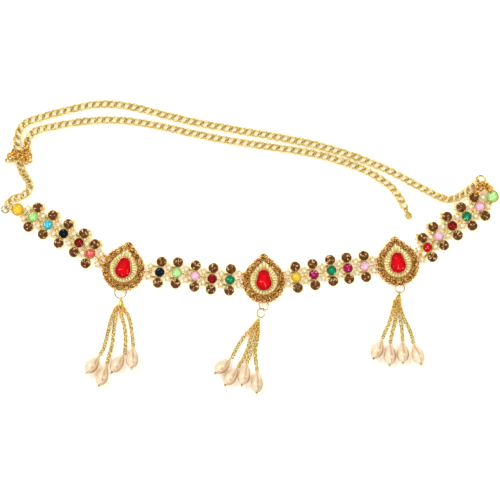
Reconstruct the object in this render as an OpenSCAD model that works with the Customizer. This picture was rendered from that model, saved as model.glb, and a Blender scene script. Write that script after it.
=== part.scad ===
// Waist chain: a belt of round stones with three pear medallions and their tassels,
// closed round the back by a curb chain with a free tail. It lies flat on its back.

/* [Stones] */
// Diameter of a round stone in a column
stone_d = 6.1; // [5.8:0.1:6.2]
// Diameter of the stone in an end piece
end_stone_d = 7.4; // [7:0.1:7.6]
// Height of a round stone
stone_h = 3.5; // [3.2:0.1:3.8]
// Number of crown facets of a round stone
stone_facets = 12; // [8:2:16]
// Width of a red pear stone
red_w = 10; // [9.4:0.1:10.2]
// Length of a red pear stone
red_l = 13.2; // [12.8:0.1:13.4]
// Height of a red pear stone
red_h = 4.9; // [4.4:0.1:5.4]

/* [Settings] */
// Distance from a centre stone to the stones above and below it
column_pitch = 7.1; // [7.05:0.05:7.3]
// Wall thickness of a stone cup
cup_wall = 0.3; // [0.25:0.01:0.32]
// Gap between a stone and its cup
seat_gap = 0.1; // [0.1:0.01:0.12]
// Height of a stone cup
cup_h = 3.2; // [3:0.1:3.4]
// Thickness of a setting's back
back_t = 1; // [0.8:0.1:1.1]
// Diameter of a small crystal cup
crystal_cup_d = 3.4; // [3.2:0.05:3.45]
// Distance of a small crystal from the belt's middle line
crystal_out = 3.5; // [3.4:0.05:3.6]
// Radius of the hooks and eyes that join the settings
hook_r = 0.96; // [0.94:0.01:0.98]
// Wire thickness of the hooks and eyes
hook_wire = 0.66; // [0.6:0.01:0.68]

/* [Medallions] */
// Width of a medallion
medal_w = 28.3; // [28:0.1:28.6]
// Height of a medallion
medal_l = 33; // [32.6:0.1:33.4]
// Diameter of a wreath cup
wreath_cup_d = 4.2; // [4:0.05:4.25]
// Height of a wreath cup
wreath_h = 3.4; // [3.2:0.1:3.6]
// Radius of the fluted ring
flute_ring_r = 9.7; // [9.5:0.05:9.8]
// Number of flutes
flute_n = 26; // [20:2:28]
// Height of a flute
flute_h = 1.3; // [1:0.1:1.5]

/* [Chain] */
// Distance from link to link
link_pitch = 4.9; // [4.85:0.01:4.95]
// Wire thickness of a link
link_wire = 1; // [0.95:0.01:1.05]
// Width of a link
link_w = 5.3; // [5.28:0.01:5.32]
// Length of a link along its wire's middle line
link_l = 6.6; // [6.56:0.01:6.7]
// Twist of a link's two ends
link_twist = 45; // [44:1:46]

/* [Tassels] */
// Width of a tassel strand
strand_w = 2.4; // [2.2:0.05:2.4]
// Thickness of a tassel strand
strand_t = 1.5; // [1.4:0.05:1.55]
// Length of a pearl
pearl_l = 14.2; // [13.8:0.1:14.4]
// Diameter of a pearl
pearl_d = 8.3; // [8:0.1:8.4]
// Tilt of a lying pearl
pearl_tilt = 18; // [17:0.5:19]
// Wire thickness of the tassel rings
ring_wire = 0.66; // [0.6:0.01:0.68]

/* [Hidden] */
gold = "goldenrod";
topaz = "saddlebrown";
$fn = 48;

// Middle of the laid out chain, which becomes the origin
lay_mid = [-0.2, 1.87];

// Stations of the belt from left to right
// columns: kind, x, y, lean from upright to the right, stone colour
stations = [
    ["end", -154.7, 26.9, 26, "gold"],
    ["column", -144.4, 21.9, 26, "palegreen"],
    ["column", -134.5, 16.8, 28, "turquoise"],
    ["column", -124.1, 10.9, 27, "midnightblue"],
    ["column", -113.8, 4.8, 28.3, "darkred"],
    ["column", -106.3, -2.5, 26, "coral"],
    ["medallion", -83.8, -10.7, 12.6, "red"],
    ["column", -60.1, -14.8, 10.5, "midnightblue"],
    ["column", -48.7, -15.2, 6.6, "palegreen"],
    ["column", -36.6, -17.3, 4, "pink"],
    ["column", -25.2, -19.1, 7.4, "darkred"],
    ["column", -13.3, -19.8, 4.6, "seagreen"],
    ["medallion", 9.2, -18.8, 0, "red"],
    ["column", 30.9, -18.1, -7.4, "gold"],
    ["column", 42.5, -16.3, -7.5, "mediumvioletred"],
    ["column", 54.3, -13.6, -8.3, "seagreen"],
    ["column", 65.1, -12.1, -7.6, "mediumvioletred"],
    ["column", 76.5, -10.9, -6.3, "pink"],
    ["medallion", 98.1, -7.3, -7.5, "red"],
    ["column", 118.2, 1.7, -27, "red"],
    ["column", 125.5, 9.3, -30.3, "pink"],
    ["column", 134.7, 16, -29.9, "darkred"],
    ["column", 144.3, 22.3, -31.5, "seagreen"],
    ["column", 153, 28.9, -30.5, "pink"],
    ["end", 161.4, 35.6, -30, "palegreen"],
];
medal_at = [6, 12, 18];
run_at = [[1:5], [7:11], [13:17], [19:23]];
columns = [for (run = run_at) for (i = run) i];

// Loose rings: x, y, height, radius
left_ring = [-163.1, 27, 1.5, 2.35];
right_ring = [153.7, 47, 1.55, 2.85];
end_ring_wire = 0.9;
ring_lean = 21;

// Chain bends, one link to each row between the first row and the last
// columns: x, y, height, roll of the link
flat_z = 1.42;
side_z = 2.8;
corner_z = 2.4;
right_bend = [
    [153.7, 47, corner_z, 135],
    [150, 43.7, corner_z, 135],
    [146.7, 40.8, 2.6, 120],
    [143.2, 38.2, 2.75, 105],
    [139.5, 35.8, side_z, 90],
    [135.4, 34.2, 2.75, 75],
    [131.2, 33.8, 2.6, 58],
    [127.1, 34.9, 2.3, 40],
    [123.2, 36.7, 2.1, 25],
    [119.3, 38.8, 1.8, 10],
    [115.1, 41, flat_z, 0],
    [110.8, 43.2, flat_z, 0],
];
left_curl = [
    [-154.8, 67.9, flat_z, 0],
    [-154.4, 63.4, flat_z, 0],
    [-153.7, 59.1, 1.5, 0],
    [-152.6, 55, 1.8, -10],
    [-151.1, 51.2, 2, -22],
    [-148.8, 47.8, 2.2, -38],
    [-146.8, 44.2, 2.6, -67],
    [-146.9, 40.1, 2.75, -93],
    [-149.9, 36.9, 2.7, -112],
    [-153.8, 35.1, 2.5, -123],
    [-157.9, 33.8, 2.4, -133],
    [-161.1, 30.7, 2.3, -141],
    [-163.1, 27, 2.3, -150],
];
tail_knot = [
    [-163.9, 60.8, 2.8, 0],
    [-159.4, 60.5, 3.9, 4],
    [-155, 61.2, 4.5, 10],
    [-151.4, 63.7, 4.3, 9],
    [-149, 67.3, 3.1, 14],
    [-148.1, 71.6, 2, 2],
    [-146.5, 75.8, 1.8, -12],
    [-143, 79, 1.5, -4],
    [-138.6, 80.7, flat_z, 0],
    [-134, 81.7, flat_z, 0],
    [-129.5, 82.6, flat_z, 0],
];

// Flat runs of the two chains; columns: x, y, distance from link to link
waist_run = [
    [115.1, 41, link_pitch],
    [108.6, 44.4, link_pitch],
    [94.2, 52.1, link_pitch],
    [78.9, 58.9, link_pitch],
    [61.9, 64.9, link_pitch],
    [41.5, 70.6, link_pitch],
    [13.5, 76.2, link_pitch],
    [-14.6, 81, link_pitch],
    [-38.8, 85.7, link_pitch],
    [-60.1, 90.8, link_pitch],
    [-77.9, 95.2, link_pitch],
    [-92, 97.1, link_pitch],
    [-106.3, 96.6, link_pitch],
    [-127.5, 91.7, link_pitch],
    [-140.3, 88, link_pitch],
    [-147.5, 85.6, 4.7],
    [-152.6, 81.2, 4.6],
    [-154.8, 75.2, 4.7],
    [-155, 69, link_pitch],
    [-154.4, 63.4, 4.7],
];
waist_ends = [1, 1];
tail_run = [
    [-134, 81.7, link_pitch],
    [-120.7, 84.2, link_pitch],
    [-107.1, 86, link_pitch],
    [-92.7, 86.6, link_pitch],
    [-77.9, 85.6, link_pitch],
    [-58.3, 82.2, link_pitch],
    [-40.5, 78.2, link_pitch],
    [-16.3, 73.4, link_pitch],
    [14.3, 68.6, link_pitch],
    [38.9, 64.8, link_pitch],
    [55.9, 60.6, link_pitch],
    [73.8, 54.3, link_pitch],
    [87.4, 46.9, link_pitch],
    [94.6, 41.2, 4.8],
    [99.6, 34.6, 4.7],
    [102.2, 29.6, 4.7],
    [103.7, 26.6, 4.7],
];
tail_ends = [1, 0.8];

// Tassels, one for each medallion
// columns: ring's place on the medallion, ring radius, turn of the ring, turn of the cap
tassels = [
    [-14, 3.9, 20, 2],
    [-15.2, 3.05, 0, -21],
    [-15.2, 3.05, -12, -11],
];
second_ring = [5.1, 3.15, 35];
cap_profile = [[0, 0], [0.9, 0], [1.3, 0.7], [2.3, 3.2], [2.3, 4], [0, 4]];

// Strands: points with height, then the swing of the pearl from straight down
strands = [
    [
        [[-88, -37.9, 0.8], [-90.4, -41, 0.8], [-92.7, -47.1, 0.8], [-95.2, -57.3, 0.8],
            [-97.3, -64.9, 0.8], [-99.5, -69.2, 1.2]],
        [[-88, -37.9, 2.5], [-89.1, -42.5, 2.5], [-89.8, -47.1, 1.5], [-90.5, -52, 0.8],
            [-91.8, -62.8, 0.8], [-94, -70.9, 0.8], [-95.2, -75.5, 1.2]],
        [[-85.3, -38.4, 2.5], [-85.8, -42, 2.5], [-84.9, -46.5, 1.6], [-83.7, -51, 0.8],
            [-82.9, -58, 0.8], [-83.3, -68.3, 1.2]],
        [[-85.3, -38.4, 0.8], [-83, -41, 0.8], [-80.7, -44.9, 0.8], [-79.1, -52, 0.8],
            [-77.8, -63.2, 1.2]],
    ],
    [
        [[2.9, -50.6, 0.8], [-0.5, -54, 0.8], [-4, -57.8, 0.8], [-8.4, -64.6, 0.8],
            [-11.7, -71.1, 1.2]],
        [[2.9, -50.6, 2.5], [1.6, -55, 2.5], [-0.1, -60, 1.6], [-1.3, -65, 0.8],
            [-4.2, -72, 0.8], [-7.5, -77.2, 1.2]],
        [[5.4, -51.1, 2.5], [4.4, -56, 2.5], [3.1, -60.5, 2.5], [1.5, -65, 2.5],
            [0, -70, 2], [-1.8, -74.6, 1.2]],
        [[5.4, -51.1, 0.8], [5.2, -56, 0.8], [4.5, -61, 0.8], [3.6, -66, 0.8],
            [3.7, -72, 0.8], [4.7, -79.5, 1.2]],
    ],
    [
        [[96.6, -34.4, 0.8], [95.5, -39.5, 0.8], [93.1, -47.3, 0.8], [90.1, -54.3, 0.8],
            [88.5, -58.1, 1.2]],
        [[96.6, -34.4, 2.5], [97, -41.3, 2.5], [96.7, -47.3, 1.6], [94.9, -54.5, 0.8],
            [93.5, -61.1, 1.2]],
        [[99.1, -34.4, 2.5], [99.6, -40, 2.5], [99.9, -45.1, 2.3], [101.1, -52.7, 0.8],
            [101.5, -59.6, 1.2]],
        [[99.1, -34.4, 0.8], [100.3, -39.5, 0.8], [103.3, -47.3, 0.8], [106.7, -54, 0.8],
            [108.5, -61.1, 1.2]],
    ],
];
swings = [[-36, -19, -33, -3], [-47, -36, -13, -1], [-25, -3, 0, 19]];
pearl_gap = 1.62;
pin_wire = 0.5;
pin_head_r = 0.75;
pin_head_gap = 0.2;
pin_eye_r = 0.45;
pin_eye_wire = 0.36;
pin_from = -0.3;
pin_to = 0.6;

stone_names = [for (k = [0:len(columns) - 1]) str("stone_", k < 9 ? "0" : "", k + 1)];
run_names = ["left", "inner_left", "inner_right", "right"];
medal_names = ["left", "centre", "right"];

function unit(v) = v / norm(v);
function kind(i) = stations[i][0];
function spot(i) = [stations[i][1], stations[i][2]];
function lean(i) = stations[i][3];
function tint(i) = stations[i][4];
function place(i, p) =
    spot(i) + [p.x * cos(lean(i)) + p.y * sin(lean(i)), p.y * cos(lean(i)) - p.x * sin(lean(i))];

// Small step between faces of joined bodies, so that none lie in one plane,
// and how far a rod or eye sinks into a thin wall
level_step = 0.1;
sink = 0.05;

// Cups and the plain distances that follow from them
column_cup_r = stone_d / 2 + seat_gap + cup_wall;
end_cup_r = end_stone_d / 2 + seat_gap + cup_wall;
hook_z = 1.5;
strip_w = 3;
arm_w = 1.4;
crystal_cup_h = 2.4;
crystal_floor = 1.2;
crystal_rim = 0.3;
cut_h = 9;
medal_side = [medal_w / 2 - 0.15, -0.5];
medal_root = 2.6;
end_arm_y = 2;
medal_arm = [-11.5, 3];
function half_w(i) = kind(i) == "column" ? column_cup_r : kind(i) == "end" ? end_cup_r : medal_side.x;
function side_y(i) = kind(i) == "medallion" ? medal_side.y : 0;
function root_in(i) = kind(i) == "medallion" ? medal_root : cup_wall - sink;

// The joint between station i and the next one
function joint_from(i) = place(i, [half_w(i), side_y(i)]);
function joint_to(i) = place(i + 1, [-half_w(i + 1), side_y(i + 1)]);
function joint_way(i) = unit(joint_to(i) - joint_from(i));
function joint_turn(i) = atan2(joint_way(i).y, joint_way(i).x);
function joint_stub(i) = max(0, (norm(joint_to(i) - joint_from(i)) - 3 * hook_r) / 2);
function joint_up(i) =
    let (mean = (lean(i) + lean(i + 1)) / 2) [sin(mean), cos(mean)];
function crystal_at(i, side) =
    (joint_from(i) + joint_to(i)) / 2 + side * crystal_out * joint_up(i);

// Pear outline: a circle of radius r at height cy and a small one of radius tr at height ty,
// joined by straight sides that end pear_sink inside the two circles
pear_sink = 0.03;
function pear_cos(r, cy, tr, ty) = (r - tr) / (ty - cy);
function pear_sin(r, cy, tr, ty) = sqrt(1 - pow(pear_cos(r, cy, tr, ty), 2));

// Point at distance s along a pear path with a sharp tip, from the tip down the right side
function pear_side(r, cy, ty) = sqrt(pow(ty - cy, 2) - r * r);
function pear_angle(r, cy, ty) = acos(r / (ty - cy));
function pear_length(r, cy, ty) =
    2 * pear_side(r, cy, ty) + (360 - 2 * pear_angle(r, cy, ty)) * PI / 180 * r;
function pear_point(r, cy, ty, s) =
    let (side = pear_side(r, cy, ty), all = pear_length(r, cy, ty), ang = pear_angle(r, cy, ty))
    s > all / 2 ? let (p = pear_point(r, cy, ty, all - s)) [-p.x, p.y]
    : s < side ? [sin(ang) * r * s / side, ty + (cy + cos(ang) * r - ty) * s / side]
    : let (turn = ang + (s - side) / r * 180 / PI) [r * sin(turn), cy + r * cos(turn)];

// Routes: a smooth curve through the rows, whose columns run along with it
function row(p, i) = p[max(0, min(i, len(p) - 1))];
function curve(p, u) =
    let (i = min(floor(u), len(p) - 2), t = u - i,
        a = row(p, i - 1), b = row(p, i), c = row(p, i + 1), d = row(p, i + 2))
    0.5 * (2 * b + (c - a) * t + (2 * a - 5 * b + 4 * c - d) * t * t
        + (3 * b - a - 3 * c + d) * t * t * t);
function xyz(p) = [p[0], p[1], p[2]];
function flat(p) = [p[0], p[1], flat_z];
curve_steps = 12;
function link_table(p) =
    let (last = (len(p) - 1) * curve_steps)
    [for (k = 0, count = 0; k <= last;
        k = k + 1,
        count = count + (k > last ? 0
            : norm(flat(curve(p, k / curve_steps)) - flat(curve(p, (k - 1) / curve_steps)))
                / curve(p, k / curve_steps)[2]))
        [count, k / curve_steps]];

// One curb link round its own middle: an oval of wire with its two ends twisted
link_sides = 10;
wire_sides = 5;
function link_line(t) =
    let (turn = link_twist * cos(t))
    [link_l / 2 / cos(180 / link_sides) * cos(t),
        (link_w - link_wire) / 2 * sin(t) * cos(turn),
        (link_w - link_wire) / 2 * sin(t) * sin(turn)];
link_points = [
    for (k = [0:link_sides - 1])
        let (t = 360 * (k + 0.5) / link_sides,
            way = unit(link_line(t + 1) - link_line(t - 1)),
            turn = link_twist * cos(t),
            across = unit(cross(way, [0, -sin(turn), cos(turn)])),
            up = cross(across, way))
        for (j = [0:wire_sides - 1])
            link_line(t) + link_wire / 2
                * (cos(360 * j / wire_sides) * across + sin(360 * j / wire_sides) * up)
];
link_faces = [
    for (k = [0:link_sides - 1])
        for (j = [0:wire_sides - 1])
            let (n = wire_sides, a = k * n, b = ((k + 1) % link_sides) * n, c = (j + 1) % n)
            for (tri = [[a + j, a + c, b + c], [a + j, b + c, b + j]])
                tri
];

// Place of each link: middle, direction, sideways and up vectors
function link_frame(at, way, roll) =
    let (level = unit(cross([0, 0, 1], way)),
        side = cos(roll) * level + sin(roll) * cross(way, level))
    [at, way, side, cross(way, side)];
function bend_frames(p) =
    [for (k = [1:len(p) - 2]) link_frame(xyz(p[k]), unit(xyz(p[k + 1]) - xyz(p[k - 1])), p[k][3])];
function run_frames(p, ends) =
    let (table = link_table(p),
        total = table[len(table) - 1][0] - ends[0] - ends[1],
        n = round(total))
    [for (k = [0:n])
        let (at = ends[0] + k * total / n,
            way = unit(flat(curve(p, lookup(at + 0.4, table))) - flat(curve(p, lookup(at - 0.4, table)))))
        link_frame(flat(curve(p, lookup(at, table))), way, 0)];

module chain(frames) {
    points = [for (f = frames) for (q = link_points) f[0] + q.x * f[1] + q.y * f[2] + q.z * f[3]];
    faces = [for (k = [0:len(frames) - 1]) for (t = link_faces) [for (v = t) v + k * len(link_points)]];
    polyhedron(points, faces, convexity = 10);
}

// A flat-sided tube along a route
tube_sides = 8;
tube_step = 1;
module strand(p) {
    n = len(p) * tube_step - tube_step;
    rings = [for (k = [0:n])
        let (here = curve(p, k / tube_step),
            way = unit(curve(p, min(n, k + 0.2) / tube_step) - curve(p, max(0, k - 0.2) / tube_step)),
            level = unit(cross([0, 0, 1], way)),
            top = cross(way, level))
        for (j = [0:tube_sides - 1])
            let (a = 360 * (j + 0.5) / tube_sides)
            here + strand_w / 2 * cos(a) * level + strand_t / 2 * sin(a) * top];
    walls = [for (k = [0:n - 1]) for (j = [0:tube_sides - 1])
        let (a = k * tube_sides, b = a + tube_sides, c = (j + 1) % tube_sides)
        for (tri = [[a + c, a + j, b + j], [a + c, b + j, b + c]]) tri];
    lids = [[for (j = [0:tube_sides - 1]) j],
        [for (j = [tube_sides - 1:-1:0]) n * tube_sides + j]];
    polyhedron(rings, concat(walls, lids), convexity = 4);
}

module laid() {
    translate([-lay_mid.x, -lay_mid.y, 0]) children();
}

module at(i) {
    translate([spot(i).x, spot(i).y, 0]) rotate([0, 0, -lean(i)]) children();
}

module wire_ring(r, wire) {
    rotate_extrude() translate([r, 0]) circle(d = wire, $fn = 24);
}

// A straight rod, a little thicker than the wire that it joins
rod_more = 0.1;
module rod(from, to, wire) {
    translate([from.x, from.y, hook_z])
        rotate([0, 90, atan2(to.y - from.y, to.x - from.x)])
            cylinder(h = norm(to - from), d = wire + rod_more, $fn = 24);
}

module bar(from, to, w, z, h) {
    translate([from.x, from.y, z])
        rotate([0, 0, atan2(to.y - from.y, to.x - from.x)])
            translate([0, -w / 2, 0]) cube([norm(to - from), w, h]);
}

module pear(r, cy, tr, ty) {
    c = pear_cos(r, cy, tr, ty);
    s = pear_sin(r, cy, tr, ty);
    low = r - pear_sink;
    high = tr - pear_sink;
    translate([0, cy]) circle(r, $fn = 96);
    translate([0, ty]) circle(tr);
    polygon([[low * s, cy + low * c], [high * s, ty + high * c],
        [-high * s, ty + high * c], [-low * s, cy + low * c]]);
}

// A round stone: pavilion, girdle, crown facets and table; columns: share of radius, share of height
stone_cut = [[0.55, 0], [1, 0.5], [1, 0.62], [0.6, 1]];
module cut_stone(d) {
    r = d / 2 * cos(180 / stone_facets);
    profile = [for (p = stone_cut) [p.x * r, p.y * stone_h]];
    outline = concat(profile, [for (k = [len(profile) - 1:-1:0]) [-profile[k].x, profile[k].y]]);
    intersection_for(k = [0:stone_facets / 2 - 1])
        rotate([90, 0, 360 * k / stone_facets]) linear_extrude(2 * d, center = true) polygon(outline);
}

module seated_stone(i, y, d) {
    at(i) translate([0, y, back_t + seat_gap]) cut_stone(d);
}

module stone(i) {
    color(tint(i)) laid() seated_stone(i, 0, kind(i) == "end" ? end_stone_d : stone_d);
}

module topaz_run(run) {
    color(topaz) laid() for (i = run) for (side = [-1, 1]) seated_stone(i, side * column_pitch, stone_d);
}

// The upright hook on the right of station i
module hook(i) {
    from = joint_from(i);
    way = joint_way(i);
    middle = from + (joint_stub(i) + hook_r) * way;
    rod(from - root_in(i) * way, from + (joint_stub(i) + hook_wire / 2) * way, hook_wire);
    translate([middle.x, middle.y, hook_z]) rotate([90, 0, joint_turn(i)]) wire_ring(hook_r, hook_wire);
}

// The level eye on the left of the station after i, and the two crystal cups beside it
module eye(i) {
    to = joint_to(i);
    way = joint_way(i);
    middle = to - (joint_stub(i) + hook_r) * way;
    rod(to + root_in(i + 1) * way, to - (joint_stub(i) + hook_wire / 2) * way, hook_wire);
    translate([middle.x, middle.y, hook_z]) wire_ring(hook_r, hook_wire);
    for (side = [-1, 1])
        translate([crystal_at(i, side).x, crystal_at(i, side).y, 0])
            cylinder(h = crystal_cup_h, d = crystal_cup_d);
}

module crystal_seats(i) {
    for (side = [-1, 1])
        translate([crystal_at(i, side).x, crystal_at(i, side).y, crystal_floor])
            cylinder(h = cut_h, d = crystal_cup_d - 2 * crystal_rim);
}

module crystal_arms(i, reach, z, h) {
    for (side = [-1, 1])
        bar(crystal_at(i, side), place(i + 1, [reach.x, side * reach.y]), arm_w, z, h);
}

// One cast setting: three cups in a column with hook, eye and crystal cups
module column_setting(i) {
    difference() {
        union() {
            at(i) {
                for (k = [-1:1]) translate([0, k * column_pitch, 0]) cylinder(h = cup_h, r = column_cup_r);
                translate([-strip_w / 2, -column_pitch, 0])
                    cube([strip_w, 2 * column_pitch, back_t - level_step]);
            }
            crystal_arms(i - 1, [0, crystal_out], level_step, back_t - 3 * level_step);
            eye(i - 1);
            hook(i);
        }
        at(i) for (k = [-1:1])
            translate([0, k * column_pitch, back_t]) cylinder(h = cut_h, r = stone_d / 2 + seat_gap);
        crystal_seats(i - 1);
    }
}

module setting_run(run) {
    color(gold) laid() for (i = run) column_setting(i);
}

// The end pieces: one cup each, with a hook or an eye for the belt and an eye for the chain
module end_cup(i) {
    at(i) cylinder(h = cup_h, r = end_cup_r);
}

module end_seat(i) {
    at(i) translate([0, 0, back_t]) cylinder(h = cut_h, r = end_stone_d / 2 + seat_gap);
}

// An upright eye that holds a ring or link, its middle at a point beside an end cup
chain_eye_r = 1.3;
chain_eye_wire = 0.7;
left_eye_z = 1.65;
right_eye_z = 2.3;
right_eye_out = 1.35;
module chain_eye(i, middle, z) {
    way = unit(middle - spot(i));
    translate([middle.x, middle.y, z])
        rotate([90, 0, atan2(way.y, way.x)]) wire_ring(chain_eye_r, chain_eye_wire);
    rod(spot(i) + (end_cup_r - cup_wall + sink) * way, middle - (chain_eye_r - 2 * sink) * way, chain_eye_wire);
}

module left_end_setting() {
    color(gold) laid() difference() {
        union() {
            end_cup(0);
            hook(0);
            chain_eye(0, [left_ring.x + left_ring[3], left_ring.y], left_eye_z);
        }
        end_seat(0);
    }
}

last = len(stations) - 1;
right_eye_turn = 122;
right_eye = spot(last) + (end_cup_r + right_eye_out) * [cos(right_eye_turn), sin(right_eye_turn)];
module right_end_setting() {
    color(gold) laid() difference() {
        union() {
            end_cup(last);
            eye(last - 1);
            crystal_arms(last - 1, [0, end_arm_y], level_step, back_t - 3 * level_step);
            chain_eye(last, right_eye, right_eye_z);
        }
        end_seat(last);
        crystal_seats(last - 1);
    }
}

// Medallion: plate, wreath of cups, fluted ring, bezel, and the bar that holds the tassel ring
medal_cy = (medal_w - medal_l) / 2;
plate_z = 1.6;
plate_t = 0.8;
plate_more = 0.6;
plate_tip_r = 1.2;
wreath_n = 18;
wreath_floor = 2;
wreath_rim = 0.35;
raised_low = plate_z + 0.3;
wreath_r = (medal_w - wreath_cup_d) / 2;
wreath_tip = (medal_l - wreath_cup_d) / 2;
wreath_step = pear_length(wreath_r, medal_cy, wreath_tip) / wreath_n;
function wreath_at(k) = pear_point(wreath_r, medal_cy, wreath_tip, k * wreath_step);

// The three cups at the foot are cut short below, to leave room for the tassel's ring
function wreath_low(k) = abs(k - wreath_n / 2) <= 1 ? raised_low : 0;
flute_z = plate_z + plate_t + 0.8;
flute_cy = -1.5;
flute_tip_r = 1.6;
flute_tip = 9.2;
red_cy = red_w / 2 - 8;
red_tip = red_cy - red_w / 2 + red_l;
bezel_t = 0.5;
bezel_h = 5.3;
bezel_tip = [0.8, red_tip - 0.3];
pocket_gap = 0.12;
pocket_tip = [0.3, red_tip - 0.25];

module medallion_frame(i, turn, ring_y) {
    difference() {
        union() {
            at(i) {
                for (k = [0:wreath_n - 1])
                    translate([wreath_at(k).x, wreath_at(k).y, wreath_low(k)])
                        cylinder(h = wreath_h - wreath_low(k), d = wreath_cup_d);
                translate([0, 0, plate_z]) linear_extrude(plate_t)
                    pear(wreath_r + plate_more, medal_cy, plate_tip_r, wreath_tip - plate_tip_r);
                translate([0, 0, plate_z + level_step]) linear_extrude(flute_z - plate_z - level_step)
                    pear(flute_ring_r, flute_cy, flute_tip_r, flute_tip);
                flutes();
                translate([0, 0, plate_z + 2 * level_step]) linear_extrude(bezel_h - plate_z - 2 * level_step)
                    pear(red_w / 2 + bezel_t, red_cy, bezel_tip[0], bezel_tip[1]);
                translate([0, ring_y, 0]) rotate([0, 0, turn]) tassel_bar();
            }
            crystal_arms(i - 1, medal_arm, plate_z - level_step, plate_t);
            eye(i - 1);
            hook(i);
        }
        at(i) {
            for (k = [0:wreath_n - 1])
                translate([wreath_at(k).x, wreath_at(k).y, wreath_floor])
                    cylinder(h = cut_h, d = wreath_cup_d - 2 * wreath_rim);
            translate([0, 0, plate_z + plate_t]) linear_extrude(cut_h)
                pear(red_w / 2 + pocket_gap, red_cy, pocket_tip[0], pocket_tip[1]);
        }
        crystal_seats(i - 1);
    }
}

// Flutes: ridges of triangular section that run out from the bezel, cut off along the ring's outline
flute_w = 1.5;
flute_from = 4.6;
flute_foot = 0.2;
module flutes() {
    base = flute_z - level_step;
    intersection() {
        translate([0, 0, base]) linear_extrude(2 * flute_h)
            pear(flute_ring_r - level_step, flute_cy, flute_tip_r, flute_tip);
        translate([0, flute_cy, base]) for (k = [0:flute_n - 1])
            rotate([90, 0, 360 * (k + 0.5) / flute_n + 90]) translate([0, 0, flute_from])
                linear_extrude(cut_h)
                    polygon([[-flute_w / 2, -flute_foot], [flute_w / 2, -flute_foot], [0, flute_h]]);
    }
}

// A bar under the plate that the tassel ring's wire runs above
bar_w = 0.8;
bar_post = 0.5;
bar_gap = ring_wire + 0.4;
module tassel_bar() {
    translate([-bar_w / 2, -bar_gap / 2 - bar_post, 0]) cube([bar_w, bar_gap + 2 * bar_post, bar_post]);
    for (y = [-bar_gap / 2 - bar_post, bar_gap / 2])
        translate([-bar_w / 2, y, 0]) cube([bar_w, bar_post, plate_z + 2 * level_step]);
}

module medallion(m) {
    color(gold) laid() medallion_frame(medal_at[m], tassels[m][2], tassels[m][0]);
}

// The red stone: a pear outline at four levels; columns: share of height, share of outline
red_n = 16;
red_levels = [[0, 0.5], [0.5, 1], [0.58, 1], [1, 0.58]];
red_fit = 0.98;
red_mid_up = 1;
function red_ring(size, z) =
    let (r = red_w / 2, step = pear_length(r, red_cy, red_tip) / red_n, mid = [0, red_cy + red_mid_up])
    [for (k = [0:red_n - 1])
        let (p = mid + size * (pear_point(r, red_cy, red_tip, k * step) - mid)) [p.x, p.y, z]];

module red_stone(m) {
    points = [for (level = red_levels)
        for (p = red_ring(level[1] * red_fit, plate_z + plate_t + seat_gap + level[0] * red_h)) p];
    walls = [for (l = [0:len(red_levels) - 2]) for (k = [0:red_n - 1])
        let (a = l * red_n, b = a + red_n, c = (k + 1) % red_n)
        for (tri = [[a + k, a + c, b + c], [a + k, b + c, b + k]]) tri];
    top = (len(red_levels) - 1) * red_n;
    lids = [[for (k = [red_n - 1:-1:0]) k], [for (k = [0:red_n - 1]) top + k]];
    color("crimson") laid() at(medal_at[m]) polyhedron(points, concat(walls, lids), convexity = 2);
}

// Tassel places: where the ring crosses its bar, the way it hangs, and where the cap's eye sits
bar_z = 1;
eye_z = 2.2;
single_end_z = 1.65;
function ring_way(m) = let (a = tassels[m][2] - lean(medal_at[m])) [sin(a), -cos(a)];
function ring_top(m) = place(medal_at[m], [0, tassels[m][0]]);
function cap_way(m) = let (a = tassels[m][3]) [sin(a), -cos(a)];
function doubled(m) = m == 1;
function first_end(m) = ring_top(m) + 2 * tassels[m][1] * ring_way(m);
function second_mid(m) = ring_top(m) + tassels[m][1] * ring_way(m) + second_ring[0] * cap_way(m);
function cap_start(m) = doubled(m) ? second_mid(m) + second_ring[1] * cap_way(m) : first_end(m);
function heading(v) = atan2(v.y, v.x);

module tassel_rings(m) {
    r = tassels[m][1];
    mid = ring_top(m) + r * ring_way(m);
    end_z = doubled(m) ? eye_z + 0.1 : single_end_z;
    color(gold) laid() {
        translate([mid.x, mid.y, (bar_z + end_z) / 2])
            rotate([0, -asin((end_z - bar_z) / 2 / r), heading(ring_way(m))]) wire_ring(r, ring_wire);
        if (doubled(m))
            translate([second_mid(m).x, second_mid(m).y, eye_z])
                rotate([0, 0, heading(cap_way(m))]) rotate([second_ring[2], 0, 0])
                    wire_ring(second_ring[1], ring_wire);
    }
}

// The cap: an upright eye round the ring's wire, fused to a cone whose axis lies level
cap_eye_r = 1.2;
cap_eye_wire = 0.7;
cap_eye_at = 0.25;
cap_at = cap_eye_at + cap_eye_r - sink;
cap_z = 2.35;
module tassel_cap(m) {
    start = cap_start(m);
    color(gold) laid() translate([start.x, start.y, 0]) rotate([0, 0, heading(cap_way(m))]) {
        translate([cap_eye_at, 0, doubled(m) ? eye_z : single_end_z + 2 * level_step])
            rotate([90, 0, 0]) wire_ring(cap_eye_r, cap_eye_wire);
        translate([cap_at, 0, cap_z]) rotate([0, 90, 0]) rotate_extrude() polygon(cap_profile);
    }
}

module tassel_strands(m) {
    color(gold) laid() for (p = strands[m]) strand(p);
}

// Each pearl lies on its side behind the end of its strand, drilled for the head pin
pearl_n = 12;
bore_r = 0.4;
bore_rim = 0.25;
pearl_drop = 1.7;
pearl_round = 0.8;
function pearl_r(t) =
    max(bore_r + bore_rim, pearl_d / 2 * pow(max(0, sin(180 * pow(t, pearl_drop))), pearl_round));
pearl_outline = concat(
    [[bore_r, 0]],
    [for (k = [0:pearl_n]) [pearl_r(k / pearl_n), pearl_l * k / pearl_n]],
    [[bore_r, pearl_l]]
);

module behind_strand(m, k) {
    p = strands[m][k];
    end = p[len(p) - 1];
    translate(end) rotate([0, 0, swings[m][k] - 90]) rotate([0, 90 - pearl_tilt, 0])
        translate([0, 0, pearl_gap]) children();
}

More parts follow.
